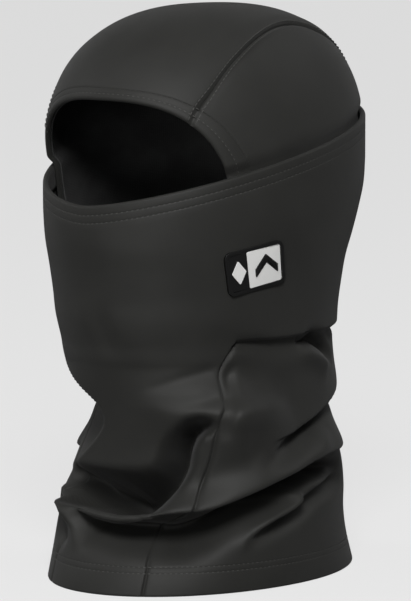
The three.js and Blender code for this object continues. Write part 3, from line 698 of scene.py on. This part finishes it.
def make_strips():
    """The seam allowances, the tape behind the centre back seam and the care label, in that order."""
    strip = (*STRIP_ENDS, STRIP_WIDTH, FABRIC + 0.4, STRIP_THICKNESS)
    label = (*LABEL_ENDS, LABEL_WIDTH, FABRIC + 1.7, LABEL_THICKNESS)
    return [
        inside_strip(name, angle_at, *sizes, material, node)
        for name, angle_at, sizes, material, node in (
            ("neck_seam_allowance_left_cloth", neck_seam, strip, SHELL, "neck_seam_allowance_left"),
            ("neck_seam_allowance_right_cloth", right_neck_seam, strip, SHELL, "neck_seam_allowance_right"),
            ("centre_back_tape", centre_back, strip, TAPE, "centre_back_seam_tape"),
            ("care_label_woven", centre_back, label, TAPE, "care_label"),
        )
    ]


# ---------------------------------------------------------------- hood
HEAD_MIDDLE = np.array([0, 0, 215.0])
CROWN_FIRST_GUESS = 60  # how far along the head a place on the crown is taken to be, before it is found
CROWN_PASSES = 4
CREASE_RISE = (266, 312)  # heights over which the creases beside the crown seams grow
LINING_DEPTH = 2 * FOLD_RADIUS + 0.2


def reach_skin(start, direction, furthest=260.0, halvings=26):
    """Angles and heights where rays from inside the head meet the skin, found by halving."""
    near = np.zeros(direction.shape[:-1])
    far = np.full(direction.shape[:-1], furthest)
    below_top = TOP - 0.01
    for _ in range(halvings):
        middle = (near + far) / 2
        point = start + direction * middle[..., None]
        height = point[..., 2]
        side, reach = skin_half_axes(np.where(point[..., 1] < 0, 0, 180), np.minimum(height, below_top), 0.0)
        inside = ((point[..., 0] / side) ** 2 + (point[..., 1] / reach) ** 2 < 1) & (height < TOP)
        near = np.where(inside, middle, near)
        far = np.where(inside, far, middle)
    point = start + direction * near[..., None]
    height = np.minimum(point[..., 2], below_top)
    side, reach = skin_half_axes(np.where(point[..., 1] < 0, 0, 180), height, 0.0)
    return np.degrees(np.arctan2(point[..., 0] / side, -point[..., 1] / reach)), height


def crown_half_width(y):
    return read_rows(CROWN_SEAM_ROWS, y)[0]


def crown_place(turn, share, offset=0.0):
    """Skin angles and heights on the crown panel: turn goes from the face over the top, share across it."""
    turn, share = alike(turn, share)
    t = np.radians(turn)
    direction = np.stack([0 * t, -np.cos(t), np.sin(t)], axis=-1)
    y = -CROWN_FIRST_GUESS * np.cos(t)
    for _ in range(CROWN_PASSES):
        x = share * (crown_half_width(y) + offset)
        start = np.stack([x, 0 * x, 0 * x + WIDEST], axis=-1)
        angle, height = reach_skin(start, direction)
        y = skin_point(angle, height)[..., 1]
    return angle, height


def outline_height(x, margin):
    """Height of the face opening's upper edge at a distance from the middle."""
    share = np.clip(np.abs(x) / (FACE_HALF_WIDTH + margin), 0, 1)
    squareness = np.where(np.asarray(x) < 0, FACE_SQUARENESS_RIGHT, FACE_SQUARENESS_LEFT)
    return FACE_CENTRE + (FACE_RISE + margin) * (1 - share**squareness) ** (1 / squareness)


def crown_front(share, margin):
    """The turn at which the crown panel meets the face opening's edge."""
    low, high = (np.full(np.shape(share), turn) for turn in (5.0, 85.0))
    for _ in range(22):
        turn = (low + high) / 2
        angle, height = crown_place(turn, share)
        above = height > outline_height(skin_point(angle, height)[..., 0], margin)
        high = np.where(above, turn, high)
        low = np.where(above, low, turn)
    return high


def outline_point(share, margin):
    """Points of the face opening's edge on the skin, from the wearer's right foot, -1, to the left, 1."""
    arc = np.linspace(-math.pi / 2, math.pi / 2, 161)
    corner = 2 / np.where(arc < 0, FACE_SQUARENESS_RIGHT, FACE_SQUARENESS_LEFT)
    x = (FACE_HALF_WIDTH + margin) * np.sign(np.sin(arc)) * np.abs(np.sin(arc)) ** corner
    z = FACE_CENTRE + (FACE_RISE + margin) * np.abs(np.cos(arc)) ** corner
    foot = FACE_FOOT_HALF_WIDTH + margin
    leg = np.linspace(HOOD_BOTTOM, FACE_CENTRE, 24)[:-1]
    leg_x = foot + (FACE_HALF_WIDTH + margin - foot) * (leg - HOOD_BOTTOM) / (FACE_CENTRE - HOOD_BOTTOM)
    x = np.concatenate([-leg_x, x, leg_x[::-1]])
    z = np.concatenate([leg, z, leg[::-1]])
    angle, height = reach_skin(np.column_stack([x, 0 * x, z]), np.array([[0, -1, 0]] * len(x)))
    travelled = length_along(skin_point(angle, height))
    at = (np.asarray(share) + 1) / 2 * travelled[-1]
    return np.interp(at, travelled, angle), np.interp(at, travelled, height)


def hood_shift(angle, height):
    """Folds of the hood: a crease behind each crown seam, deepest over the top of the head."""
    place = skin_point(angle, height)
    from_seam = np.abs(place[..., 0]) - crown_half_width(place[..., 1])
    crease = CREASE_DEPTH * np.exp(-((from_seam - 0.9) ** 2))
    puff = 0.8 * np.exp(-(((from_seam + 6) / 6.0) ** 2))
    return (puff - crease) * smoothstep(height, *CREASE_RISE)


def hood_point(angle, height, lift=0.0):
    return skin_point(angle, height, hood_inset(angle, height) - hood_shift(angle, height) - lift)


def hood_normal(angle, height):
    point = hood_point(angle, height)
    outward = hood_point(angle, height, 1.0) - point
    return outward / np.linalg.norm(outward, axis=-1, keepdims=True)


SEAM_BACK_TURN = 208  # where the crown seams pass into the side panels' back edges
SEAM_END_TURN = 229
CROWN_HALF_ACROSS = 45  # lengths across the panels, about which their rows of points are spaced
SIDE_DOWN = 120
NAPE_HALF_AXES = (68, 78)  # of the skin where the back edges end


def crown_grid(margin):
    close = np.array(EDGE_ROWS) / CROWN_HALF_ACROSS
    share = spaced(2, 0.04, close, close) - 1
    start = crown_front(share, margin)
    part = np.unique(np.concatenate([[0, 0.004, 0.008], np.linspace(0, 1, 110)]))[:, None]
    turn = start[None, :] + part * (SEAM_END_TURN - start[None, :])
    angle, height = crown_place(turn, np.repeat(share[None, :], len(part), axis=0))
    edge = (1 - np.abs(share))[None, :] * CROWN_SEAM_ROWS[2, 1]
    return angle, height, np.repeat(edge, len(part), axis=0)


def side_grid(margin, side):
    """A side panel, as on the left: rows go from the crown seam down, columns from the face back."""
    columns = np.linspace(0, 1, 110)
    rows = spaced(1, 1 / 62, np.array(EDGE_ROWS) / SIDE_DOWN)
    start = float(crown_front(np.array(float(side)), margin))
    top = skin_point(*crown_place(start + columns * (SEAM_BACK_TURN - start), 1.0))
    back = skin_point(*crown_place(SEAM_BACK_TURN + rows * (SEAM_END_TURN - SEAM_BACK_TURN), 1.0))
    whole = np.linspace(0, 1, 400)
    mirror = np.array([side, 1, 1])
    outline = skin_point(*outline_point(side * whole, margin)) * mirror
    corner = int(np.argmin(np.linalg.norm(outline - top[0], axis=1)))
    reach = whole[corner] + rows * (1 - whole[corner])
    front = skin_point(*outline_point(side * reach, margin)) * mirror
    front[0] = top[0]
    last = np.degrees(np.arctan2(back[-1, 0] / NAPE_HALF_AXES[0], -back[-1, 1] / NAPE_HALF_AXES[1]))
    first = float(outline_point(np.array(1.0), margin)[0])
    bottom = skin_point(first + columns * (last - first), np.full(len(columns), float(HOOD_BOTTOM)))
    v, s = rows[:, None, None], columns[None, :, None]
    grid = (1 - v) * top[None] + v * bottom[None] + (1 - s) * front[:, None] + s * back[:, None]
    grid -= (1 - s) * ((1 - v) * top[0] + v * bottom[0]) + s * ((1 - v) * top[-1] + v * bottom[-1])
    direction = grid - HEAD_MIDDLE
    angle, height = reach_skin(HEAD_MIDDLE, direction / np.linalg.norm(direction, axis=-1, keepdims=True))
    edge = np.repeat((rows * SIDE_DOWN)[:, None], len(columns), axis=1)
    return angle[::-1], height[::-1], edge[::-1]


def hood_seam(edge):
    """How far the crown seam draws its fabric in."""
    return turned_in(edge, 1.3, 0.7)


def hood_grids(margin):
    """The hood's panels: piece, node, side, and angles, heights and distances from the crown seam."""
    return [
        ("crown_cloth", "crown_panel", 1, crown_grid(margin)),
        ("hood_side_left_cloth", "hood_side_left", 1, side_grid(margin, 1)),
        ("hood_side_right_cloth", "hood_side_right", -1, side_grid(margin, -1)),
    ]


def make_hood():
    pieces = []
    for name, node, side, (angle, height, edge) in hood_grids(FACE_HEM_ROWS[1]):
        points = hood_point(side * angle, height, hood_seam(edge)).reshape(-1, 3)
        faces = grid_faces(*angle.shape)[:, ::side]
        piece = shell(name, points, faces, FABRIC, SHELL, cloth_place(side * angle, height))
        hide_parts(node)
        pieces.append(piece)
    return pieces


def make_face_hem():
    profile = folded_edge(around_rows(FACE_HEM_ROWS, 0, FACE_HEM_ROWS[1]), FACE_HEM)
    along = np.linspace(-1, 1, 700)
    rings = []
    for distance, out in profile:
        angle, height = outline_point(along, distance)
        lift = out
        if out > -FOLD_RADIUS:
            place = skin_point(angle, height)
            from_seam = np.abs(np.abs(place[..., 0]) - crown_half_width(place[..., 1]))
            from_seam = np.where(height > FACE_CENTRE + 30, from_seam, FAR_AWAY)
            lift = out + hem_relief(distance, FACE_HEM_ROWS) + hood_seam(from_seam)
        rings.append(hood_point(angle, height, lift))
    across = np.repeat(length_along(profile), len(along))
    cloth = np.column_stack([np.tile(along * 200, len(profile)), across])  # the hem is about 400 mm long
    faces = grid_faces(len(profile), len(along))[:, ::-1]
    piece = shell("face_opening_hem_cloth", np.array(rings).reshape(-1, 3), faces, FABRIC, SHELL, cloth)
    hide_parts("face_opening_hem")
    return piece


def make_lining():
    """The hood's ribbed lining, one layer behind its three panels."""
    points, faces, cloth = [], [], []
    for _, _, side, (angle, height, _) in hood_grids(LINING_EDGE):
        faces.append(grid_faces(*angle.shape)[:, ::side] + sum(map(len, points)))
        points.append(hood_point(side * angle, height, -LINING_DEPTH).reshape(-1, 3))
        cloth.append(cloth_place(side * angle, height))
    piece = shell("hood_lining_cloth", np.vstack(points), np.vstack(faces), LINING, RIBBED, np.vstack(cloth))
    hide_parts("hood_lining")
    return piece


# ---------------------------------------------------------------- stitching
STITCH_LENGTH = 2.3
STITCH_PITCH = 3.0
STITCH_RADIUS = 0.32
STITCH_SIDES = 6
BACK_STITCH_SIDE = 1.8  # how far the centre back's row lies from the seam
BACK_STITCH_START = 172
STITCH_LIFT = -0.15  # the thread lies in the dent that it pulls
CROWN_STITCH_LIFT = 0.2  # the crown's rows stand out more than the hems'
HEM_STITCH_LIFT = -0.4


def stitches(name, points, normals, node, material):
    """Separate stitches along a line of points on the fabric, each sinking in at its ends."""
    travelled = length_along(points)
    count = int(travelled[-1] // STITCH_PITCH)
    share = np.array([-1, -0.85, -0.4, 0.4, 0.85, 1])
    middle = (np.arange(count) + 0.5) * STITCH_PITCH
    at = middle[:, None] + share[None, :] * STITCH_LENGTH / 2
    centre = np.stack([np.interp(at, travelled, points[:, axis]) for axis in range(3)], axis=-1)
    normal = np.stack([np.interp(at, travelled, normals[:, axis]) for axis in range(3)], axis=-1)
    tangent = np.gradient(centre, axis=1)
    tangent /= np.linalg.norm(tangent, axis=-1, keepdims=True)
    beside = np.cross(tangent, normal)
    radius = STITCH_RADIUS * np.sqrt(1 - (share * 0.92) ** 2)[None, :, None]
    sink = (STITCH_LIFT + STITCH_RADIUS * (0.6 - 1.1 * share**4))[None, :, None]
    turns = np.arange(STITCH_SIDES) * 2 * math.pi / STITCH_SIDES
    rings = [centre + normal * (sink + radius * math.sin(t)) + beside * radius * math.cos(t) for t in turns]
    verts = np.stack(rings, axis=2).reshape(count, -1, 3)
    walls = grid_faces(len(share), STITCH_SIDES, wraps=True).tolist()
    last = STITCH_SIDES * (len(share) - 1)
    caps = [range(STITCH_SIDES)[::-1], range(last, last + STITCH_SIDES)]
    shifts = range(0, count * verts.shape[1], verts.shape[1])
    all_faces = [[corner + shift for corner in face] for shift in shifts for face in (*walls, *caps)]
    piece = make_mesh(name, verts.reshape(-1, 3), all_faces, material)
    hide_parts(node)
    return piece


def tube_stitches(name, angles, heights, node):
    angles, heights = alike(angles, heights)
    points = tube_point(angles, heights, HEM_STITCH_LIFT)
    return stitches(name, points, tube_normal(angles, heights), node, THREAD)


def hood_stitches(name, angles, heights, node, lift):
    points = hood_point(angles, heights, lift)
    return stitches(name, points, hood_normal(angles, heights), node, THREAD)


def make_stitching():
    """The rows of stitches: those that ride on the body gaiter, then those on the mask."""
    round_tube = np.linspace(-179, 179, 500)
    gaiter, mask = [], []
    for row, word in zip(BOTTOM_HEM_ROWS, ("lower", "upper")):
        name, node = f"bottom_hem_stitches_{word}", f"bottom_hem_thread_{word}"
        gaiter.append(tube_stitches(name, round_tube, row, node))
    for row, word in zip(MASK_HEM_ROWS, ("upper", "lower")):
        name, node = f"mask_hem_stitches_{word}", f"mask_hem_thread_{word}"
        mask.append(tube_stitches(name, round_tube, mask_edge(round_tube) - row, node))
    back = np.linspace(BACK_STITCH_START, float(mask_edge(180)) - MASK_HEM, 60)
    beside = 180 - BACK_STITCH_SIDE / UNROLLED
    mask.append(tube_stitches("mask_back_seam_stitches", beside, back, "mask_back_seam_thread"))
    for margin, word in zip(FACE_HEM_ROWS, ("inner", "outer")):
        angles, heights = outline_point(np.linspace(-0.97, 0.97, 600), margin)
        name, node = f"face_hem_stitches_{word}", f"face_hem_thread_{word}"
        gaiter.append(hood_stitches(name, angles, heights, node, HEM_STITCH_LIFT))
    for side, side_word in ((1, "left"), (-1, "right")):
        turns = np.linspace(float(crown_front(np.array(float(side)), 1.0)), 200, 400)
        for offset, word in ((-CROWN_ROW_OFFSET, "inner"), (CROWN_ROW_OFFSET, "outer")):
            angles, heights = crown_place(turns, float(side), offset)
            name, node = f"crown_seam_stitches_{side_word}_{word}", f"crown_seam_thread_{side_word}_{word}"
            gaiter.append(hood_stitches(name, angles, heights, node, CROWN_STITCH_LIFT))
    return gaiter, mask


# ---------------------------------------------------------------- cheek patch
PATCH_WIDTH = 38
PATCH_HEIGHT = 25
PATCH_CORNER = 4
PATCH_RIM = 1.9
PATCH_ANGLE = 67
PATCH_LEVEL = JAW + 42
PATCH_TILT = math.radians(10)
PATCH_SPLIT = -5  # edge between its dark and light fields, from its middle
PATCH_GAP = 0.1
FIELD_CORNER = 0.9
DIAMOND_PLACE = 6  # from the split
DIAMOND_WIDE = 4.6
DIAMOND_TALL = 7
CHEVRON_PLACE = 12
CHEVRON_WIDE = 7.5
CHEVRON_LEVELS = (-5.5, -0.5, 2, 7)  # feet, the top of the feet, the inner bend and the peak
BASE_LEVELS = (0.1, 0.9)  # how far out from the fabric each layer starts and ends
RIM_LEVELS = (0.8, 2.1)
FIELD_LEVELS = (0.8, 1.35)
MARK_LEVELS = (1.3, 1.9)
SOFTEN = 0.16  # radius of the moulded edges
EDGE_SUPPORT = 0.08  # of flat top beside them


def patch_point(across, up, lift):
    """Points in the patch's own frame on the mask: across towards the nape, up, and out."""
    turned = across * math.cos(PATCH_TILT) - up * math.sin(PATCH_TILT)
    raised = across * math.sin(PATCH_TILT) + up * math.cos(PATCH_TILT)
    step = skin_point(PATCH_ANGLE + 1, PATCH_LEVEL) - skin_point(PATCH_ANGLE, PATCH_LEVEL)
    angle = PATCH_ANGLE + turned / float(np.linalg.norm(step))
    return tube_point(angle, PATCH_LEVEL + raised, lift)


def rounded_corners(corners, radius, steps=6):
    """A closed outline with its convex corners rounded, and each point's inward direction."""
    corners = np.array(corners, float)
    outline = []
    for before, corner, after in zip(np.roll(corners, 1, axis=0), corners, np.roll(corners, -1, axis=0)):
        back = (before - corner) / np.linalg.norm(before - corner)
        on = (after - corner) / np.linalg.norm(after - corner)
        half = math.acos(float(np.clip(back @ on, -1, 1))) / 2
        reach = radius / math.tan(half)
        middle = corner + (back + on) / np.linalg.norm(back + on) * radius / math.sin(half)
        start, end = corner + back * reach, corner + on * reach
        for t in np.linspace(0, 1, steps):
            spoke = (1 - t) * (start - middle) + t * (end - middle)
            outline.append(middle + spoke / np.linalg.norm(spoke) * radius)
    return np.array(outline)


def inward(outline):
    """Directions into an outline that turns left, at each of its points."""
    along = np.roll(outline, -1, axis=0) - np.roll(outline, 1, axis=0)
    along /= np.linalg.norm(along, axis=1, keepdims=True)
    return np.column_stack([-along[:, 1], along[:, 0]])


def moulded(name, outline, low, high, material, node, hole=None, middle=None):
    """A moulded plate on the patch with softened edges, or a ring where hole is its width.

    middle is a point that sees the whole outline, where that isn't the mean of its points.
    """
    turns = np.linspace(0, math.pi / 2, 5)
    edge = [(0, low)]
    edge += [(SOFTEN * (1 - math.cos(t)), high - SOFTEN * (1 - math.sin(t))) for t in turns]
    edge.append((SOFTEN + EDGE_SUPPORT, high))
    if hole is not None:
        edge += [(hole - inset, lift) for inset, lift in edge[::-1]]
    rings = [outline + inward(outline) * inset for inset, _ in edge]
    lifts = [lift for _, lift in edge]
    if hole is None:
        middle = outline.mean(axis=0) if middle is None else np.array(middle)
        under = [outline * (1 - share) + middle * share for share in (0.7, 0.35)]
        over = [rings[-1] * (1 - share) + middle * share for share in (0.25, 0.5, 0.75)]
        rings = under + rings + over
        lifts = [low] * len(under) + lifts + [high] * len(over)
    size, count = len(outline), len(rings)
    points = [patch_point(ring[:, 0], ring[:, 1], lift) for ring, lift in zip(rings, lifts)]
    index = np.arange(size * count).reshape(count, size)
    near, far = (index[:-1], index[1:]) if hole is None else (index, np.roll(index, -1, axis=0))
    quads = np.stack([near, np.roll(near, -1, axis=1), np.roll(far, -1, axis=1), far], axis=-1)
    faces = quads.reshape(-1, 4).tolist()
    if hole is None:
        points += [patch_point(middle[:1], middle[1:], lift) for lift in (low, high)]
        bottom, top = size * count, size * count + 1
        first, last = index[0], index[-1]
        faces += [(bottom, b, a) for a, b in zip(first, np.roll(first, -1))]
        faces += [(top, a, b) for a, b in zip(last, np.roll(last, -1))]
    piece = make_mesh(name, np.vstack(points), faces, material)
    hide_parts(node)
    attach(piece, "mask")
    return piece


def box(left, right, tall):
    return [(left, -tall), (right, -tall), (right, tall), (left, tall)]


def make_patch():
    width, height = PATCH_WIDTH / 2, PATCH_HEIGHT / 2
    field_width, field_height = width - PATCH_RIM - PATCH_GAP, height - PATCH_RIM - PATCH_GAP
    whole = rounded_corners(box(-width, width, height), PATCH_CORNER)
    dark = rounded_corners(box(-field_width, PATCH_SPLIT, field_height), FIELD_CORNER)
    light = rounded_corners(box(PATCH_SPLIT + 1.5 * PATCH_GAP, field_width, field_height), FIELD_CORNER)
    x = PATCH_SPLIT - DIAMOND_PLACE
    diamond = [(x - DIAMOND_WIDE, 0), (x, -DIAMOND_TALL), (x + DIAMOND_WIDE, 0), (x, DIAMOND_TALL)]
    x = PATCH_SPLIT + CHEVRON_PLACE
    foot, lap, elbow, peak = CHEVRON_LEVELS
    left, right = x - CHEVRON_WIDE, x + CHEVRON_WIDE
    chevron = [(left, foot), (x, elbow), (right, foot), (right, lap), (x, peak), (left, lap)]
    middle = (x, (elbow + peak) / 2)
    for name, outline, levels, material, extra in (
        ("patch_base", whole, BASE_LEVELS, RUBBER_DARK, {}),
        ("patch_rim", whole, RIM_LEVELS, RUBBER_DARK, {"hole": PATCH_RIM}),
        ("patch_dark_field", dark, FIELD_LEVELS, RUBBER_DARK, {}),
        ("patch_light_field", light, FIELD_LEVELS, RUBBER_LIGHT, {}),
        ("patch_light_mark", rounded_corners(diamond, 0.6), MARK_LEVELS, RUBBER_LIGHT, {}),
        ("patch_dark_mark", rounded_corners(chevron, 0.4), MARK_LEVELS, RUBBER_DARK, {"middle": middle}),
    ):
        moulded(name + "_moulding", outline, *levels, material, name, **extra)


def make_balaclava():
    tube = make_tube()
    *strips, label = make_strips()
    gaiter_threads, mask_threads = make_stitching()
    hood = [*make_hood(), make_face_hem()]
    lining = make_lining()
    for piece in [*tube, *strips, label]:
        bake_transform(piece)
    for piece in [*hood, lining, *gaiter_threads]:
        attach(piece, "gaiter")
    for piece in mask_threads:
        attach(piece, "mask")
    make_patch()


make_balaclava()

# ---------------------------------------------------------------- camera, light and floor
CAMERA_AZIMUTH = 40
CAMERA_ELEVATION = 7.2
CAMERA_DISTANCE = 2.5
VIEW_HEIGHT = 0.3444  # metres from the picture's bottom to its top, at the object
VIEW_MIDDLE = 0.1544
SENSOR = 36
STAGE_GREY = 120
STAGE_GLOW = 0.68
STAGE_FLAT = 6000  # radius of the flat floor
STAGE_CURVE = 2000
STAGE_TOP = 8000
STAGE_TURNS = 96
AMBIENT_ABOVE = 0.16
AMBIENT_BELOW = 0.12
LIGHT_DISTANCE = 2.4
LIGHT_MIDDLE = 0.16  # height that the lights point at
# Name, azimuth, elevation, size and power of each light.
LIGHTS = [
    ("key", 40, 34, 0.7, 42),
    ("low", 20, 2, 0.6, 7),
    ("left", -60, 30, 0.8, 8),
    ("back", 150, 45, 0.8, 4),
]


def add_looking_in(data, distance, azimuth, elevation, height):
    """A camera or a light that looks at the object's middle, at a height, from a direction in degrees."""
    thing = bpy.data.objects.new(data.name, data)
    bpy.context.scene.collection.objects.link(thing)
    a, e = math.radians(azimuth), math.radians(elevation)
    level = distance * math.cos(e)
    thing.location = (level * math.sin(a), -level * math.cos(a), height + distance * math.sin(e))
    thing.rotation_euler = (math.pi / 2 - e, 0, a)
    return thing


def make_camera():
    data = bpy.data.cameras.new("camera")
    data.sensor_fit = "VERTICAL"
    data.sensor_height = SENSOR
    data.lens = SENSOR * CAMERA_DISTANCE / VIEW_HEIGHT
    camera = add_looking_in(data, CAMERA_DISTANCE, CAMERA_AZIMUTH, CAMERA_ELEVATION, VIEW_MIDDLE)
    bpy.context.scene.camera = camera


def make_stage():
    """A pale floor that curves up far behind into a backdrop all round, with a glow of its own."""
    bends = np.linspace(0.15, math.pi / 2, 10)
    curve = [(STAGE_FLAT + STAGE_CURVE * math.sin(t), STAGE_CURVE * (1 - math.cos(t))) for t in bends]
    profile = np.array([(1, 0), (STAGE_FLAT, 0), *curve, (STAGE_FLAT + STAGE_CURVE, STAGE_TOP)])
    turns = np.arange(STAGE_TURNS) * 2 * math.pi / STAGE_TURNS
    radius, height = profile[:, :1], profile[:, 1:]
    points = np.stack([radius * np.cos(turns), radius * np.sin(turns), height + 0 * turns], axis=-1)
    material = new_material("stage_paper", STAGE_GREY, 0.9, specular=0.0)
    shader = material.node_tree.nodes["Principled BSDF"]
    shader.inputs["Emission Color"].default_value = (1, 1, 1, 1)
    shader.inputs["Emission Strength"].default_value = STAGE_GLOW
    faces = grid_faces(len(profile), STAGE_TURNS, wraps=True)
    floor = make_mesh("floor", points.reshape(-1, 3), faces, material)
    floor.visible_diffuse = False
    floor.visible_glossy = False


def make_light():
    """Soft light from in front, and a sky that is dark below, as over a floor that gives little back."""
    world = bpy.data.worlds.new("studio")
    bpy.context.scene.world = world
    world.use_nodes = True
    background = world.node_tree.nodes["Background"]
    background.inputs["Color"].default_value = (1, 1, 1, 1)
    place = add_node(world, "ShaderNodeTexCoord")
    parts = add_node(world, "ShaderNodeSeparateXYZ")
    span = {"From Min": -0.3, "From Max": 0.7, "To Min": AMBIENT_BELOW, "To Max": AMBIENT_ABOVE}
    sky = add_node(world, "ShaderNodeMapRange", span)
    wire(place, "Generated", parts, "Vector")
    wire(parts, "Z", sky, "Value")
    wire(sky, "Result", background, "Strength")
    for name, azimuth, elevation, size, power in LIGHTS:
        data = bpy.data.lights.new(name, "AREA")
        data.size = size
        data.energy = power
        light = add_looking_in(data, LIGHT_DISTANCE, azimuth, elevation, LIGHT_MIDDLE)
        light.visible_camera = False


make_camera()
make_stage()
make_light()
bpy.context.scene.view_settings.view_transform = "Standard"
